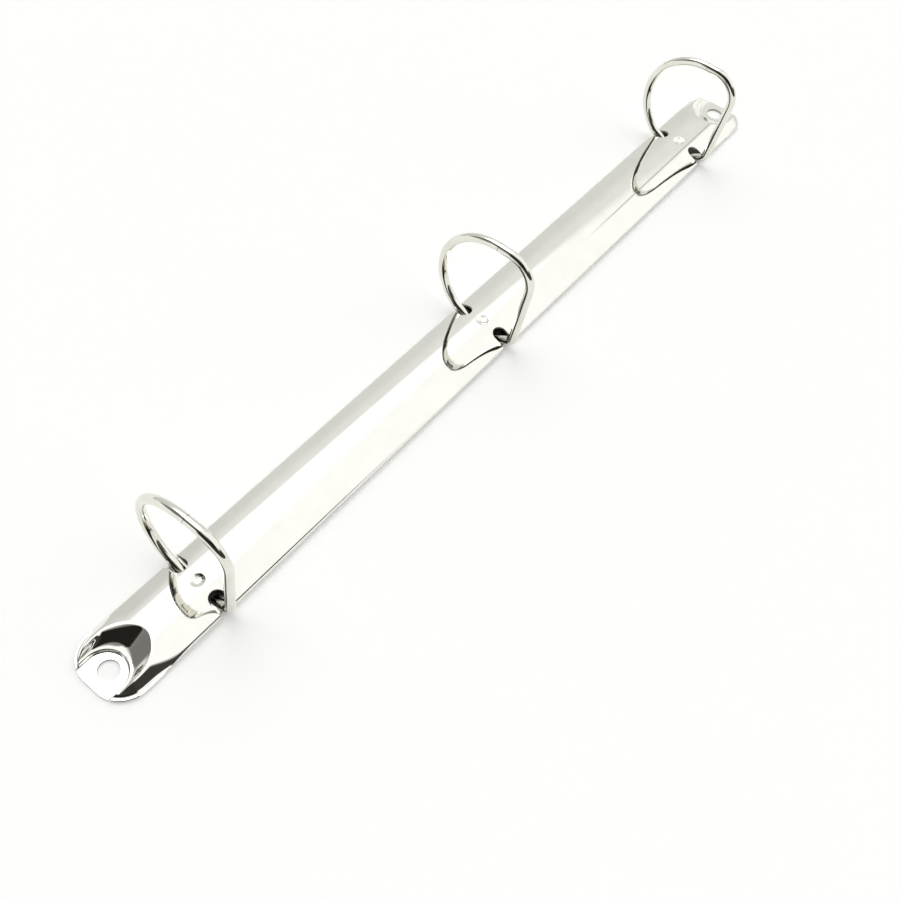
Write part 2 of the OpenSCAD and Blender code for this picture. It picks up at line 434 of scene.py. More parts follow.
@dataclass
class CoverSheet:
    """The long arched cover, pressed from one sheet; all sizes in millimetres.

    Attributes:
        length: Overall length.
        width: Width across the side folds.
        height: Height of the crown.
        sheet: Sheet thickness.
        lip: Flat length of the lip turned in under the sides.
        corner_r: Corner radius in plan.
        fold_r: Outer radius of the side fold.
        pitch: Distance from ring to ring.
        slot_width: Width of the ring slots.
        slot_reach: Distance from the middle to a slot's inner end.
        dimple_d: Diameter of the dimples.
        dimple_depth: Depth of the dimples.
        hole_d: Diameter of the fixing holes.
        hole_inset: Distance from an end to its hole.
        floor_r: Radius of the recess floor's inner end.
        floor_inset: Distance from an end to that radius.
        step: Height of the step round the floor.
        ledge: Width of the ledge above it.
        rim_r: Radius of the recess's rim.
        rim_inset: Distance from an end to the rim's centre.
        flank_slope_round: Slope of the steep flank round each end in degrees, on the round halves' side.
        flank_slope_post: The same on the post halves' side.
        flank_foot_round: Width of the flange below that flank, on the round halves' side.
        flank_foot_post: The same on the post halves' side.
        flank_full: Distance from an end to which the flank keeps its width.
        flank_taper_round: How much it narrows per millimetre beyond that, on the round halves' side.
        flank_taper_post: The same on the post halves' side.
        flank_z: Height of the flange below it.
        crest_soft: How much softer the crest between flank and recess is at the ends.
        steep_normal: Upward part of the normal below which a crest is steep.
        steep_share: Share of the thickness that the inner side keeps under steep crests.
        full_from: Distance from an end at which the arch begins to grow fuller.
        ledge_rise: Rise of the ledge across its width.
        step_run: Width of the step in plan.
        crest_round: Height within which the recess's rim is rounded.
        flank_round: The same where the flank leaves the arch.
        foot_round: The same at the flank's foot.
        ledge_round: The same between the ledge and the wall.
        dimple_round: The same round a dimple.
        taper_soft: Length over which the flank begins to narrow.
        low_z: Height below which crests stay as they are.
        floor_top: Height below which the fold is open at an end's floor.
        formed_reach: How far the formed end reaches past the recess's rim.
        across: Number of facets across the arch.
        floor_facets: Number of facets across half the recess floor.
        step_facets: Number of facets across the step.
        ledge_facets: Number of facets across the ledge.
        fold_facets: Number of facets round a fold.
        corner_rows: Number of cross lines in a corner.
        apex_angles: Directions from the floor's centre, in degrees, where its lines get more cross lines.
        dimple_rows: Number of cross lines at a dimple.
        dimple_reach: How far they reach to either side of it.
        dimple_clear: Distance from a dimple to the next plain cross line.
        plain_rows: Number of cross lines between two dimples.
        last_rows: The same between the last dimple and the formed end.
        row_gap: Distance between the cross lines of a formed end.
        corner_gap: Least distance from the last of them to the corner.
        least_gap: Cross lines closer than this become one.
        cutter_depth: Height of what cuts the slots and holes.
        halvings: Number of halvings in the search for the wall.
        sharp_turn: Edges that turn more than this stay sharp, in degrees.
    """

    length: float = 279.4
    width: float = 19.2
    height: float = 4.4
    sheet: float = 0.6
    lip: float = 1.0
    corner_r: float = 7.5
    fold_r: float = 1.2
    pitch: float = 107.95
    slot_width: float = 4.4
    slot_reach: float = 4.2
    dimple_d: float = 3.8
    dimple_depth: float = 0.7
    hole_d: float = 5.2
    hole_inset: float = 5.05
    floor_r: float = 5.0
    floor_inset: float = 3.9
    step: float = 0.7
    ledge: float = 1.0
    rim_r: float = 7.1
    rim_inset: float = 9.2
    flank_slope_round: float = 62.0
    flank_slope_post: float = 46.0
    flank_foot_round: float = 0.45
    flank_foot_post: float = 0.75
    flank_full: float = 9.0
    flank_taper_round: float = 0.34
    flank_taper_post: float = 0.14
    flank_z: float = 1.0
    crest_soft: float = 0.8
    steep_normal: float = 0.8
    steep_share: float = 0.2
    full_from: float = 16.0
    ledge_rise: float = 0.2
    step_run: float = 0.6
    crest_round: float = 0.3
    flank_round: float = 0.5
    foot_round: float = 0.3
    ledge_round: float = 0.25
    dimple_round: float = 0.12
    taper_soft: float = 3.0
    low_z: float = 1.2
    floor_top: float = 1.32
    formed_reach: float = 6.4
    across: int = 96
    floor_facets: int = 6
    step_facets: int = 4
    ledge_facets: int = 2
    fold_facets: int = 12
    corner_rows: int = 40
    apex_angles: tuple[float, ...] = (0.0, 4.0, 8.0, 13.0, 19.0, 27.0, 37.0, 48.0, 60.0)
    dimple_rows: int = 24
    dimple_reach: float = 2.4
    dimple_clear: float = 3.4
    plain_rows: int = 14
    last_rows: int = 6
    row_gap: float = 0.24
    corner_gap: float = 0.1
    least_gap: float = 0.012
    cutter_depth: float = 30.0
    halvings: int = 40
    sharp_turn: float = 32.0

    @property
    def pivot_y(self) -> float:
        """Distance from the middle to a fold's axis."""
        return self.width / 2 - self.fold_r

    @property
    def arch_r(self) -> float:
        """Radius of the arch, which touches both folds."""
        h, f = self.height, self.fold_r
        return (self.pivot_y**2 + h**2 - 2 * h * f) / (2 * (h - 2 * f))

    @property
    def arch_angle(self) -> float:
        """Angle from the crown to where the arch runs into a fold."""
        return math.atan2(self.pivot_y, self.arch_r + self.fold_r - self.height)

    def stations_x(self) -> list[float]:
        """Places of the rings along the cover."""
        return [-self.pitch, 0.0, self.pitch]

    @property
    def formed_from(self) -> float:
        """Place along X from which an end is formed."""
        return self.length / 2 - self.rim_inset - self.rim_r - self.formed_reach

    @property
    def contours(self) -> np.ndarray:
        """Lines that the step and the ledge follow round the floor.

        Returns:
            Their radii, rising.
        """
        step_r, ledge_r = self.floor_r + self.step_run, self.floor_r + self.ledge
        on_step = np.linspace(self.floor_r, step_r, self.step_facets + 1)
        return np.append(on_step, np.linspace(step_r, ledge_r, self.ledge_facets + 1)[1:])

    def edge_y(self, x: float) -> float:
        """Find the arch's edge at a place along the cover.

        Args:
            x: Place along the cover.

        Returns:
            Distance from the middle to the edge.
        """
        straight_y = self.width / 2 - self.corner_r
        reach = self.arch_r * math.sin(self.arch_angle) - straight_y
        past = min(max(abs(x) - (self.length / 2 - self.corner_r), 0.0), reach)
        return straight_y + math.sqrt(reach**2 - past**2)

    def plain_row(self, x: float) -> np.ndarray:
        """Places across the plain arch, evenly spread."""
        return self.edge_y(x) * np.linspace(-1.0, 1.0, self.across + 1)

    def formed_row(self, x: float) -> np.ndarray:
        """Lay out the places across a formed end, so that lines of points follow the recess.

        Args:
            x: Place along the cover.

        Returns:
            Rising places along Y; where a line is not met its points fall together.
        """
        inset = self.length / 2 - abs(x)
        edge = self.edge_y(x)
        past = np.clip(inset - self.floor_inset, 0.0, self.contours)
        half = np.minimum(np.sqrt(self.contours**2 - past**2), edge)
        inner = np.linspace(0.0, half[0], self.floor_facets + 1)
        outer = np.linspace(half[-1], edge, self.across // 2 + 1)
        side = np.concatenate([inner, half[1:-1], outer])
        return np.concatenate([-side[:0:-1], side])

    def lengthwise(self) -> tuple[np.ndarray, np.ndarray]:
        """Places of the cross lines on one half, close together where the sheet is formed.

        Returns:
            Rising places along X, of the plain lines and of the formed end's lines.
        """
        straight = self.length / 2 - self.corner_r
        reach = self.corner_r - (self.width / 2 - self.arch_r * math.sin(self.arch_angle))
        corner = straight + reach * np.sin(np.linspace(0.0, math.pi / 2, self.corner_rows))
        leaving = straight + np.sqrt(reach**2 - (self.contours - self.width / 2 + self.corner_r) ** 2)
        apex = np.cos(np.radians(self.apex_angles))
        bends = self.length / 2 - self.floor_inset - np.outer(self.contours, apex).ravel()
        even = np.arange(self.formed_from, straight - self.corner_gap, self.row_gap)
        formed = np.sort(np.concatenate([even, corner, leaving, bends]))
        formed = formed[np.concatenate([[True], np.diff(formed) > self.least_gap])]
        dimple = np.linspace(-self.dimple_reach, self.dimple_reach, self.dimple_rows)
        clear = self.dimple_clear
        plain = np.concatenate([
            dimple[dimple > 0], np.linspace(clear, self.pitch - clear, self.plain_rows), self.pitch + dimple,
            np.linspace(self.pitch + clear, self.formed_from, self.last_rows),
        ])
        return plain, formed

    def arch_height(self, from_middle: np.ndarray) -> np.ndarray:
        """Height of the plain arch at a distance from the middle line."""
        return self.height - self.arch_r + np.sqrt(self.arch_r**2 - from_middle**2)

    def recess_height(self, x: np.ndarray, y: np.ndarray) -> np.ndarray:
        """Height of the pressed recess at each end.

        Args:
            x: Places along the cover.
            y: Places across it.

        Returns:
            Floor, step, ledge and wall as heights, rising on past the rim.
        """
        inset = self.length / 2 - np.abs(x)
        aside = np.abs(y)
        past_floor = np.hypot(np.maximum(inset - self.floor_inset, 0.0), aside) - self.floor_r
        ledge_r = self.floor_r + self.ledge
        # Search for how far the wall has come from ledge to rim, as a share, where it passes each point
        low, high = np.full(x.shape, -1.5), np.full(x.shape, 3.0)
        for _ in range(self.halvings):
            t = (low + high) / 2
            centre = self.floor_inset + (self.rim_inset - self.floor_inset) * t
            outside = np.hypot(np.maximum(inset - centre, 0.0), aside) > ledge_r + (self.rim_r - ledge_r) * t
            low, high = np.where(outside, t, low), np.where(outside, high, t)
        ledge_z = self.sheet + self.step
        wall = ledge_z + (self.height - ledge_z) * low
        shelf = ledge_z + self.ledge_rise * np.clip(past_floor / self.ledge, 0.0, 2.0)
        upper = rounded_max(shelf, wall, self.ledge_round)
        return self.sheet + smooth_step(0.0, self.step_run, past_floor) * (upper - self.sheet)

    def flank_height(self, x: np.ndarray, y: np.ndarray) -> np.ndarray:
        """Height of the steep flank round each end.

        Args:
            x: Places along the cover.
            y: Places across it.

        Returns:
            Heights of a flank that widens towards the ends.
        """
        off_x = np.maximum(np.abs(x) - (self.length / 2 - self.corner_r), 0.0)
        off_y = np.abs(y) - (self.width / 2 - self.corner_r)
        from_edge = self.corner_r - np.where(off_x > 0, np.hypot(off_x, np.maximum(off_y, 0.0)), off_y)
        inset = self.length / 2 - np.abs(x)
        on_round = y > 0
        slope = np.radians(np.where(on_round, self.flank_slope_round, self.flank_slope_post))
        taper = np.where(on_round, self.flank_taper_round, self.flank_taper_post)
        foot = np.where(on_round, self.flank_foot_round, self.flank_foot_post)
        foot = foot - taper * rounded_max(inset - self.flank_full, np.zeros(x.shape), self.taper_soft)
        rise = (from_edge - foot) * np.tan(slope)
        return rounded_max(np.full(x.shape, self.flank_z), self.flank_z + rise, self.foot_round)

    def pressed(self, points: np.ndarray) -> np.ndarray:
        """Press the recesses and dimples into points of the plain cover.

        Args:
            points: Points in millimetres.

        Returns:
            The points with their formed heights.
        """
        x, y, z = points.T
        end = np.abs(x) > self.formed_from
        drop, depth = self.height - z, self.height - self.arch_height(self.arch_r * math.sin(self.arch_angle))
        grow = smooth_step(self.full_from, self.flank_full, self.length / 2 - np.abs(x))
        full = z + np.where(drop < depth, grow * drop * (1.0 - drop / depth), 0.0)
        flank = rounded_min(full, self.flank_height(x, y), self.flank_round)
        flank = np.maximum(flank, np.minimum(z, self.flank_z))
        side = np.where(end, flank, z)
        recess = self.recess_height(x, y)
        above = smooth_step(self.low_z, self.low_z + 1.0, np.minimum(side, recess))
        soft = self.crest_round + self.crest_soft * grow * above
        formed = np.where(end, rounded_min(side, recess, soft), z)
        ball_r = ((self.dimple_d / 2) ** 2 + self.dimple_depth**2) / (2 * self.dimple_depth)
        for station in self.stations_x():
            off = np.hypot(x - station, y)
            near = off < self.dimple_d
            on_ball = np.minimum(off, 0.95 * ball_r)
            ball = self.height - self.dimple_depth + ball_r - np.sqrt(ball_r**2 - on_ball**2)
            formed = np.where(near, rounded_min(formed, ball, self.dimple_round), formed)
        return np.stack([x, y, formed], 1)

    def surface(self) -> tuple[np.ndarray, list[tuple[int, ...]]]:
        """Lay out the sheet's outer surface: arch, folds and lips.

        Returns:
            Points in millimetres and the faces between them.
        """
        straight_x = self.length / 2 - self.corner_r
        straight_y = self.width / 2 - self.corner_r
        edge = self.arch_r * math.sin(self.arch_angle)
        plain, formed = self.lengthwise()
        lines = [(x, self.formed_row(x)) for x in -formed[::-1]]
        lines += [(x, self.plain_row(x)) for x in (*-plain[::-1], 0.0, *plain)]
        lines += [(x, self.formed_row(x)) for x in formed]
        points, rows, faces = [], [], []
        count = 0
        for x, y in lines:
            past = max(abs(x) - straight_x, 0.0)
            round_corner = straight_y + np.hypot(past, np.maximum(np.abs(y) - straight_y, 0.0))
            middle = np.maximum(round_corner, np.abs(y)) if past > 0 else np.abs(y)
            z = self.arch_height(np.minimum(middle, edge))
            points.append(np.column_stack([np.full(len(y), x), y, z]))
            rows.append(np.arange(count, count + len(y)))
            count += len(y)
        for low, high in zip(rows, rows[1:]):
            if len(low) == len(high):
                faces += [(low[j], high[j], high[j + 1], low[j + 1]) for j in range(len(low) - 1)]
        flat = np.concatenate(points)

        # The rim of the arch, once round, with the direction that points outwards
        loop = [*(r[0] for r in rows), *rows[-1][1:], *(r[-1] for r in rows[-2::-1]), *rows[0][-2:0:-1]]
        rim = flat[loop][:, :2]
        straight = np.array([straight_x, straight_y])
        outward = rim - np.clip(rim, -straight, straight)
        outward /= np.linalg.norm(outward, axis=1)[:, None]
        turn = np.linspace(self.arch_angle, math.pi, self.fold_facets + 1)[1:]
        widest = int(np.argmin(np.abs(turn - math.pi / 2)))
        turn[widest] = math.pi / 2
        strip = [(self.pivot_y + self.fold_r * math.sin(a), self.fold_r * (1 + math.cos(a))) for a in turn]
        strip += [(self.pivot_y - self.lip * part, 0.0) for part in (0.5, 1.0)]
        in_floor = [np.zeros(len(loop), bool)]
        for distance, height in strip:
            ring = rim + outward * (distance - edge)
            points.append(np.column_stack([ring, np.full(len(ring), height)]))
            in_floor.append(self.recess_height(*ring.T) < self.floor_top)
        previous = list(loop)
        for k in range(len(strip)):
            first = count + k * len(loop)
            current = list(range(first, first + len(loop)))
            for a in range(len(loop)):
                b = (a + 1) % len(loop)
                meets_floor = in_floor[k][a] or in_floor[k][b] or in_floor[k + 1][a] or in_floor[k + 1][b]
                if k <= widest or not meets_floor:
                    faces.append((previous[a], current[a], current[b], previous[b]))
            previous = current
        return self.pressed(np.concatenate(points)), faces

    def pierce(self, cover: bpy.types.Object) -> None:
        """Pierce the ring slots and the fixing holes.

        Args:
            cover: The sheet, with its thickness.
        """
        sizes = {
            "Pitch": self.pitch, "Slot width": self.slot_width, "Slot reach": self.slot_reach,
            "Hole diameter": self.hole_d, "Hole spacing": self.length - 2 * self.hole_inset,
            "Depth": self.cutter_depth,
        }
        graph = MeshGraph("pierce_slots_and_holes", tuple(sizes), (), ("Finish", "Edge finish"))
        given = graph.given
        width, depth = given["Slot width"], given["Depth"]
        pitch, spacing = given["Pitch"], given["Hole spacing"]
        round_end = graph.pin(width, depth, CUTTER_FACETS)
        # Each slot is open outwards, past the side of the cover
        bar_length = graph.scaled(width, 4.0)
        bar = graph.add("GeometryNodeMeshCube", {"Size": graph.vector(X=width, Y=bar_length, Z=depth)})
        outwards = graph.moved(bar.outputs["Mesh"], graph.vector(Y=graph.scaled(bar_length, 0.5)))
        slot = graph.boolean("UNION", None, round_end, outwards)
        off = graph.calc("ADD", given["Slot reach"], graph.scaled(width, 0.5))
        pair = graph.join(
            graph.moved(slot, graph.vector(Y=off)),
            graph.moved(slot, graph.vector(Y=graph.scaled(off, -1.0)), (0.0, 0.0, math.pi)),
        )
        slots = graph.repeated(pair, 3, graph.scaled(pitch, -1.0), pitch)
        drum = graph.pin(given["Hole diameter"], depth, CUTTER_FACETS)
        holes = graph.repeated(drum, 2, graph.scaled(spacing, -0.5), spacing)
        # The cut walls take the darker edge colour, which paints shade into them
        cutters = graph.dressed(graph.realized(graph.join(slots, holes)), "Edge finish")
        pierced = graph.boolean("DIFFERENCE", graph.dressed(given["Mesh"], "Finish"), cutters)
        finishes = {"Finish": BRIGHT_NICKEL.material(), "Edge finish": SHEARED_EDGE_AND_SHADE.material()}
        graph.apply(cover, pierced, sizes, finishes)

    def weigh_thickness(self, cover: bpy.types.Object) -> str:
        """Mark where the inner side keeps close to the outer one, under crests narrower than the sheet.

        Args:
            cover: The outer surface.

        Returns:
            Name of the vertex group that weighs the thickness.
        """
        group = cover.vertex_groups.new(name="thickness")
        for vertex, normal in zip(cover.data.vertices, cover.data.vertex_normals):
            x, _, z = vertex.co / MM
            steep = abs(x) > self.formed_from and z > 2 * self.sheet and normal.vector.z < self.steep_normal
            group.add([vertex.index], self.steep_share if steep else 1.0, "REPLACE")
        return group.name

    def build(self) -> bpy.types.Object:
        """Build the cover and dress it.

        Returns:
            The finished cover.
        """
        points, faces = self.surface()
        mesh = bpy.data.meshes.new("cover_sheet")
        mesh.from_pydata((points * MM).tolist(), [], [tuple(int(i) for i in f) for f in faces])
        work = bmesh.new()
        work.from_mesh(mesh)
        bmesh.ops.remove_doubles(work, verts=work.verts, dist=2 * MERGE)
        bmesh.ops.delete(work, geom=[v for v in work.verts if not v.link_faces], context="VERTS")
        work.to_mesh(mesh)
        work.free()
        cover = link_mesh("cover_sheet", mesh)
        thick = cover.modifiers.new("sheet_thickness", "SOLIDIFY")
        thick.thickness = self.sheet * MM
        thick.offset = -1.0
        thick.vertex_group = self.weigh_thickness(cover)
        self.pierce(cover)
        plain_mesh(cover, self.sharp_turn)
        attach(cover, "cover")
        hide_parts("cover")
        return cover


@dataclass
class WirePath:
    """Centre line of a bent wire, drawn in the plane of its ring.

    Attributes:
        at: Where the wire has got to, outwards and upwards, in millimetres.
        heading: Direction in degrees, 0 is outwards.
        step: Turn between two points of a bend, in degrees.
        spacing: Distance between two points of a straight run, about.
    """

    at: Vector
    heading: float = 0.0
    step: float = 2.5
    spacing: float = 0.7

    def __post_init__(self) -> None:
        """Start the list of points."""
        self.points = [self.at.copy()]

    def ahead(self, run: float, turn: float = 0.0) -> Vector:
        """Find the place a run away in the heading, turned by an angle."""
        angle = math.radians(self.heading + turn)
        return self.at + run * Vector((math.cos(angle), math.sin(angle)))

    def run(self, length: float) -> None:
        """Go straight on.

        Args:
            length: Length of the run in millimetres.
        """
        start = self.at.copy()
        end = self.ahead(length)
        for part in np.linspace(0.0, 1.0, max(2, int(length / self.spacing)))[1:]:
            self.points.append(start.lerp(end, float(part)))
        self.at = end

    def bend(self, radius: float, turn: float) -> None:
        """Bend to the right.

        Args:
            radius: Bend radius in millimetres.
            turn: Turn in degrees.
        """
        centre = self.ahead(radius, -90.0)
        arm = self.at - centre
        count = max(2, math.ceil(turn / self.step))
        for k in range(1, count + 1):
            angle = -math.radians(turn * k / count)
            c, s = math.cos(angle), math.sin(angle)
            self.points.append(centre + Vector((c * arm.x - s * arm.y, s * arm.x + c * arm.y)))
        self.at = self.points[-1].copy()
        self.heading -= turn


@dataclass
class HalfRings:
    """The three half rings of one side, staked into their hinge plate; sizes in millimetres.

    Attributes:
        side: Side of the cover.
        pitch: Distance from ring to ring.
        wire_d: Diameter of the wire.
        ring_top: Height of the centre line at the top.
        seam_y: Sideways place of the seam.
        seam_gap: Gap at the seam.
        round_bend_r: Bend radius of the round half.
        round_bend_gap: Straight length before the round half's foot bend.
        post_top_run: Straight length of the post half's top.
        post_corner_r: Bend radius of the post half's corner.
        post_lean: Lean of the post in degrees.
        foot_bend_r: Bend radius at the foot.
        round_turn: Turn of the round half's wide bend in degrees.
        post_bend_z: Height of the centre of the post half's foot bend.
        round_tenon_inset: Distance from the hinge axis to the round half's tenon.
        post_tenon_inset: Distance from the hinge axis to the post half's tenon.
        tip_length: Length of the pointed tip.
        tip_d: Diameter of the tip at its base.
        tip_clearance: Clearance of the tip in its socket.
        tenon_d: Diameter of the staked tenon.
        head_d: Diameter of its peened head.
        head_t: Thickness of that head.
        tenon_below: Share of the tenon that is below the wire's foot.
        plate_t: Thickness of the hinge plate.
        plate_tilt: Slope of the closed hinge plate in degrees.
        pivot_y: Distance from the middle to the hinge axis.
        pivot_z: Height of the hinge axis.
        trim_size: Size of the block that trims the wire at the plate.
        sharp_turn: Edges that turn more than this stay sharp, in degrees.
    """

    side: Side
    pitch: float = 107.95
    wire_d: float = 2.5
    ring_top: float = 33.1
    seam_y: float = -0.9
    seam_gap: float = 0.12
    round_bend_r: float = 16.6
    round_bend_gap: float = 0.4
    post_top_run: float = 3.2
    post_corner_r: float = 7.8
    post_lean: float = 4.1
    foot_bend_r: float = 3.0
    round_turn: float = 139.4
    post_bend_z: float = 5.4
    round_tenon_inset: float = 3.35
    post_tenon_inset: float = 2.1
    tip_length: float = 0.8
    tip_d: float = 1.5
    tip_clearance: float = 0.1
    tenon_d: float = 1.8
    head_d: float = 2.6
    head_t: float = 0.25
    tenon_below: float = 0.96
    plate_t: float = 0.8
    plate_tilt: float = 4.0
    pivot_y: float = 8.4
    pivot_z: float = 1.2
    trim_size: tuple[float, float, float] = (20.0, 40.0, 10.0)
    sharp_turn: float = 40.0

    def on_plate(self, from_axis: float) -> Vector:
        """Find the point of the plate's upper face at a distance from the hinge axis."""
        tilt = math.radians(self.plate_tilt)
        return Vector((
            self.pivot_y - from_axis,
            self.pivot_z - from_axis * math.tan(tilt) + self.plate_t / 2 / math.cos(tilt),
        ))

    def foot(self, path: WirePath, tenon: Vector) -> None:
        """Bend a wire into its foot and run it on into the plate.

        Args:
            path: The wire so far.
            tenon: Where its centre line meets the plate.
        """
        arm = path.ahead(self.foot_bend_r, -90.0) - tenon
        slope = math.degrees(math.atan2(arm.y, arm.x) - math.asin(self.foot_bend_r / arm.length))
        path.bend(self.foot_bend_r, 180.0 - slope + path.heading)
        path.run(math.sqrt(arm.length_squared - self.foot_bend_r**2) + self.wire_d / 2)

    def centre_line(self) -> tuple[WirePath, Vector]:
        """Draw the wire from its seam to its foot.

        Returns:
            The wire's path, and where it meets the plate.
        """
        start = self.side.value * self.seam_y + self.seam_gap / 2
        path = WirePath(Vector((start, self.ring_top)))
        if self.side is Side.ROUND:
            tenon = self.on_plate(self.round_tenon_inset)
            path.bend(self.round_bend_r, self.round_turn)
            path.run(self.round_bend_gap)
        else:
            tenon = self.on_plate(self.post_tenon_inset)
            lean = math.radians(self.post_lean)
            drop = (
                self.ring_top - self.post_corner_r * (1 + math.sin(lean))
                + self.foot_bend_r * math.sin(lean) - self.post_bend_z
            )
            path.run(self.post_top_run)
            path.bend(self.post_corner_r, 90.0 + self.post_lean)
            path.run(drop / math.cos(lean))
        self.foot(path, tenon)
        return path, tenon

    def sweep(self, rings: bpy.types.Object, hit: Vector, finish: bpy.types.Material) -> None:
        """Sweep one half ring along its centre line, foot, tip and tenon, and repeat it along the cover.

        Args:
            rings: The centre line.
            hit: Where it meets the plate.
            finish: Material of the wire.
        """
        sign = self.side.value
        clearance = self.tip_clearance if self.side is Side.ROUND else 0.0
        sizes = {
            "Wire diameter": self.wire_d, "Pitch": self.pitch, "Tip diameter": self.tip_d + 2 * clearance,
            "Tip length": self.tip_length + clearance, "Tenon diameter": self.tenon_d,
            "Tenon length": (self.plate_t + self.head_t) / self.tenon_below,
            "Head diameter": self.head_d, "Head thickness": self.head_t,
        }
        # The tip points across the seam, into the round half; its socket begins at the round half's end
        vectors = {
            "Seam place": (0.0, (self.seam_y - self.seam_gap / 2) * MM, self.ring_top * MM),
            "Tip turn": (-math.pi / 2, 0.0, 0.0),
            "Plate place": (0.0, sign * hit.x * MM, hit.y * MM),
            "Plate turn": (sign * math.radians(self.plate_tilt), 0.0, 0.0),
        }
        graph = MeshGraph(rings.name, tuple(sizes), tuple(vectors), ("Finish",))
        given = graph.given
        on_plate = (given["Plate place"], given["Plate turn"])

        line = graph.add("GeometryNodeMeshToCurve", {"Mesh": given["Mesh"]})
        section = graph.add("GeometryNodeCurvePrimitiveCircle", {
            "Resolution": WIRE_FACETS, "Radius": graph.scaled(given["Wire diameter"], 0.5),
        })
        swept = graph.add("GeometryNodeCurveToMesh", {
            "Curve": line.outputs["Curve"], "Profile Curve": section.outputs["Curve"], "Fill Caps": True,
        })
        block = graph.add("GeometryNodeMeshCube", {"Size": tuple(size * MM for size in self.trim_size)})
        below = graph.moved(block.outputs["Mesh"], (0.0, 0.0, -self.trim_size[2] / 2 * MM))
        wire = graph.boolean("DIFFERENCE", swept.outputs["Mesh"], graph.moved(below, *on_plate))

        tip = graph.add("GeometryNodeMeshCone", {
            "Vertices": WIRE_FACETS, "Depth": given["Tip length"],
            "Radius Bottom": graph.scaled(given["Tip diameter"], 0.5),
            "Radius Top": graph.scaled(given["Tip diameter"], 0.25),
        })
        pointed = graph.moved(tip.outputs["Mesh"], given["Seam place"], given["Tip turn"])

        def upright(name: str, factor: float) -> Socket:
            """Add a vector along Z from one of the sizes and return it."""
            return graph.vector(Z=graph.scaled(given[name], factor))

        tenon = graph.pin(given["Tenon diameter"], given["Tenon length"], WIRE_FACETS)
        head = graph.pin(given["Head diameter"], given["Head thickness"], WIRE_FACETS)
        head_place = graph.add("ShaderNodeVectorMath", {
            0: upright("Tenon length", -self.tenon_below), 1: upright("Head thickness", 0.5),
        }, operation="ADD")
        stake = graph.join(
            graph.moved(tenon, upright("Tenon length", 0.5 - self.tenon_below)),
            graph.moved(head, head_place.outputs[0]),
        )
        parts = [graph.boolean("DIFFERENCE", wire, pointed)] if self.side is Side.ROUND else [wire, pointed]
        ring = graph.join(*parts, graph.moved(stake, *on_plate))
        start, step = graph.scaled(given["Pitch"], -1.0), graph.scaled(given["Pitch"], 1.0)
        row = graph.dressed(graph.realized(graph.repeated(ring, 3, start, step)), "Finish")
        graph.apply(rings, row, sizes, vectors | {"Finish": finish})

    def build(self, finish: bpy.types.Material) -> bpy.types.Object:
        """Build the three half rings of this side and dress them.

        Args:
            finish: Material of the wire.

        Returns:
            The finished half rings as one piece.
        """
        word = self.side.name.lower()
        path, hit = self.centre_line()
        mesh = bpy.data.meshes.new(f"{word}_half_rings")
        line = [(0.0, self.side.value * p.x * MM, p.y * MM) for p in path.points]
        mesh.from_pydata(line, [(i, i + 1) for i in range(len(line) - 1)], [])
        rings = link_mesh(f"{word}_half_rings", mesh)
        self.sweep(rings, hit, finish)
        plain_mesh(rings, self.sharp_turn)
        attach(rings, f"{word}_leaf")
        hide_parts(*(f"{word}_half_{place}" for place in ("near", "middle", "far")))
        return rings


@dataclass
class HingePlates:
    """The two hinge plates under the cover, which keep their built shape."""

    nodes: tuple[str, str] = ("hinge_plate_round", "hinge_plate_post")

    def dress(self) -> list[bpy.types.Object]:
        """Give both plates their plain plated finish.

        Returns:
            The two plates.
        """
        finish = PLAIN_PLATING.material()
        plates = [frame["nodes"][name] for name in self.nodes]
        for plate in plates:
            plate.data.materials.clear()
            plate.data.materials.append(finish)
        return plates


@dataclass(frozen=True)
class Card:
    """A light or dark area of the studio's surround, with soft edges; angles in degrees.

    Attributes:
        azimuth: Direction of its middle round Z.
        reach: How far it reaches to either side of that.
        low: Its lower edge above the floor.
        high: Its upper edge above the floor.
        soft: Half the width of its soft edge.
        colour: Its colour.
    """

    azimuth: float
    reach: float
    low: float
    high: float
    soft: float
    colour: tuple[float, float, float]


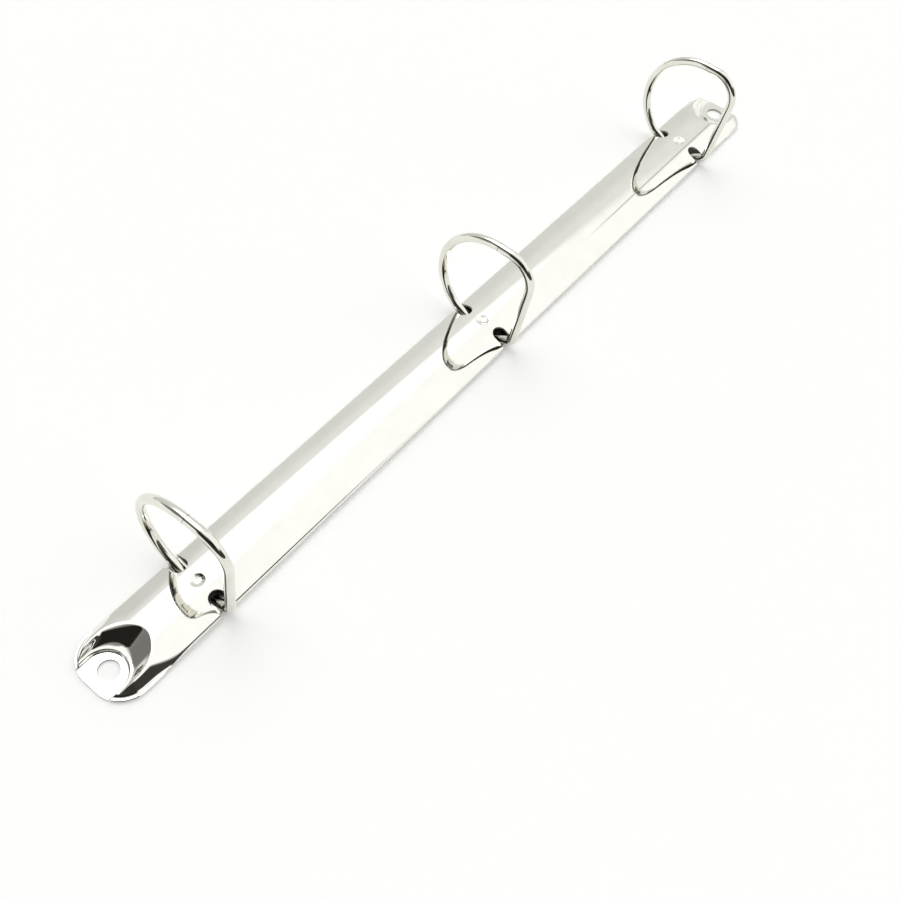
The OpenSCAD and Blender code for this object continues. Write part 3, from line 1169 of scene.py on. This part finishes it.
@dataclass
class Studio:
    """Pale floor and a soft white surround that is dark on the camera's side.

    Attributes:
        surround: Colour of the surround.
        cards: Lighter and darker areas of it, the later ones over the earlier ones.
        floor_colour: Colour of the floor.
        floor_lift: Glow that lifts the floor to white for what looks at it.
        floor_size: Half the floor's length in metres.
        floor_z: Height of the floor in metres, just under the lips.
        floor_roughness: Roughness of the floor.
    """

    surround: tuple[float, float, float] = (1.14, 1.14, 1.125)
    cards: tuple[Card, ...] = (
        Card(75.0, 46.0, 46.0, 78.0, 8.0, (2.9, 2.9, 2.88)),
        Card(52.0, 50.0, -30.0, 42.0, 3.5, (0.86, 0.86, 0.84)),
        Card(56.0, 46.0, -30.0, 29.0, 8.0, (0.75, 0.755, 0.73)),
        Card(90.0, 18.0, -30.0, 34.0, 6.0, (0.68, 0.68, 0.66)),
        Card(4.0, 1.2, 33.0, 46.0, 1.2, (0.55, 0.55, 0.53)),
        Card(215.0, 32.0, 25.0, 70.0, 10.0, (0.60, 0.59, 0.57)),
        Card(205.0, 50.0, 54.0, 70.0, 5.0, (0.30, 0.29, 0.275)),
        Card(128.0, 20.0, 10.0, 54.0, 6.0, (0.20, 0.195, 0.185)),
        Card(228.0, 67.0, -40.0, 28.0, 6.0, (0.05, 0.046, 0.042)),
        Card(202.0, 56.0, 22.0, 57.0, 4.0, (0.018, 0.015, 0.014)),
    )
    floor_colour: tuple[float, float, float] = (0.92, 0.92, 0.915)
    floor_lift: float = 0.16
    floor_size: float = 3.0
    floor_z: float = -3e-5
    floor_roughness: float = 0.9

    def build(self) -> bpy.types.Object:
        """Make the floor and the surround that lights the mechanism.

        Returns:
            The floor.
        """
        s, z = self.floor_size, self.floor_z
        mesh = bpy.data.meshes.new("floor")
        mesh.from_pydata([(-s, -s, z), (s, -s, z), (s, s, z), (-s, s, z)], [], [(0, 1, 2, 3)])
        floor = link_mesh("floor", mesh)
        mesh.materials.append(self.floor_material())
        self.make_surround()
        return floor

    def floor_material(self) -> bpy.types.Material:
        """Make the pale floor, which keeps the shadow and looks white.

        Returns:
            The floor's material.
        """
        mat = bpy.data.materials.new("pale_floor")
        mat.use_nodes = True
        graph = Graph(mat.node_tree)
        rays = graph.add("ShaderNodeLightPath").outputs
        seen = graph.calc("MAXIMUM", rays["Is Camera Ray"], rays["Is Glossy Ray"])
        seen = graph.calc("MAXIMUM", seen, rays["Is Transmission Ray"])
        graph.feed(mat.node_tree.nodes["Principled BSDF"], {
            "Base Color": (*self.floor_colour, 1.0), "Roughness": self.floor_roughness,
            "Specular IOR Level": 0.0, "Emission Color": (1.0, 1.0, 1.0, 1.0),
            "Emission Strength": graph.calc("MULTIPLY", seen, self.floor_lift),
        })
        return mat

    def make_surround(self) -> None:
        """Make the world: a white surround with its lighter and darker areas, plain white to the camera."""
        world = bpy.data.worlds.new("surround")
        bpy.context.scene.world = world
        world.use_nodes = True
        graph = Graph(world.node_tree)
        look = graph.add("ShaderNodeTexCoord").outputs["Generated"]

        def along(x: float, y: float, z: float) -> Socket:
            """Add the part of the view direction along another and return it."""
            node = graph.add("ShaderNodeVectorMath", {0: look, 1: (x, y, z)}, operation="DOT_PRODUCT")
            return node.outputs["Value"]

        def edge(value: Socket, outside: float, inside: float) -> Socket:
            """Add a soft edge between two angles in degrees and return its share."""
            values = {"Value": value, "From Min": math.radians(outside), "From Max": math.radians(inside)}
            return graph.add("ShaderNodeMapRange", values, interpolation_type="SMOOTHSTEP").outputs["Result"]

        def mixed(share: Socket, under: Value, over: tuple[float, float, float]) -> Socket:
            """Add one colour over another and return the mixture."""
            values = {"Factor": share, MIX_UNDER: under, MIX_OVER: (*over, 1.0)}
            return graph.add("ShaderNodeMix", values, data_type="RGBA").outputs[MIX_RESULT]

        height = graph.calc("ARCSINE", along(0.0, 0.0, 1.0))
        current: Value = (*self.surround, 1.0)
        for card in self.cards:
            c, s = math.cos(math.radians(card.azimuth)), math.sin(math.radians(card.azimuth))
            aside = graph.calc("ABSOLUTE", graph.calc("ARCTAN2", along(-s, c, 0.0), along(c, s, 0.0)))
            level = graph.calc(
                "MULTIPLY",
                edge(height, card.low - card.soft, card.low + card.soft),
                edge(height, card.high + card.soft, card.high - card.soft),
            )
            beside = edge(aside, card.reach + card.soft, card.reach - card.soft)
            current = mixed(graph.calc("MULTIPLY", beside, level), current, card.colour)
        to_camera = graph.add("ShaderNodeLightPath").outputs["Is Camera Ray"]
        white = mixed(to_camera, current, (1.0, 1.0, 1.0))
        graph.feed(world.node_tree.nodes["Background"], {"Color": white})


@dataclass
class PhotoCamera:
    """The photograph's camera, fitted to the rings and edges of the cover.

    Attributes:
        azimuth: Direction of the camera round Z in degrees.
        elevation: Height angle of the camera in degrees.
        roll: Turn of the picture in degrees.
        distance: Distance to the target in millimetres.
        target: Point on the floor in the middle of the picture, in millimetres.
        sensor: Width of the sensor in millimetres.
        focal: Focal length in pixels of the photograph.
        picture: Width of the photograph in pixels.
        nearest: Distance in metres from which things are seen.
    """

    azimuth: float = 209.68221
    elevation: float = 55.62248
    roll: float = 10.62269
    distance: float = 264.9414
    target: tuple[float, float] = (-38.1160, -19.1082)
    sensor: float = 36.0
    focal: float = 1018.196
    picture: float = 900.0
    nearest: float = 0.005

    def build(self) -> bpy.types.Object:
        """Make the camera and use it for the scene.

        Returns:
            The camera.
        """
        a, e, r = (math.radians(v) for v in (self.azimuth, self.elevation, self.roll))
        back = Vector((math.cos(e) * math.cos(a), math.cos(e) * math.sin(a), math.sin(e)))
        right = Vector((-math.sin(a), math.cos(a), 0.0))
        up = back.cross(right)
        across = math.cos(r) * right + math.sin(r) * up
        upward = math.cos(r) * up - math.sin(r) * right
        place = (Vector((*self.target, 0.0)) + back * self.distance) * MM
        data = bpy.data.cameras.new("photo_camera")
        data.lens = self.sensor * self.focal / self.picture
        data.sensor_width = self.sensor
        data.clip_start = self.nearest
        camera = bpy.data.objects.new("photo_camera", data)
        bpy.context.scene.collection.objects.link(camera)
        turn = Matrix((across, upward, back)).transposed().to_4x4()
        camera.matrix_world = Matrix.Translation(place) @ turn
        bpy.context.scene.camera = camera
        return camera


def main() -> None:
    """Build and dress the mechanism, its studio and its camera."""
    logging.basicConfig(level=logging.INFO, format="%(name)s: %(message)s")
    bpy.context.scene.view_settings.view_transform = "Standard"
    made = [CoverSheet().build()]
    wire_finish = RING_NICKEL.material()
    made += [HalfRings(side).build(wire_finish) for side in Side]
    made += HingePlates().dress()
    for piece in made:
        LOG.info("%s: %d faces", piece.name, len(piece.data.polygons))
    LOG.info("%s", Studio().build().name)
    LOG.info("%s", PhotoCamera().build().name)


if __name__ == "__main__":
    main()
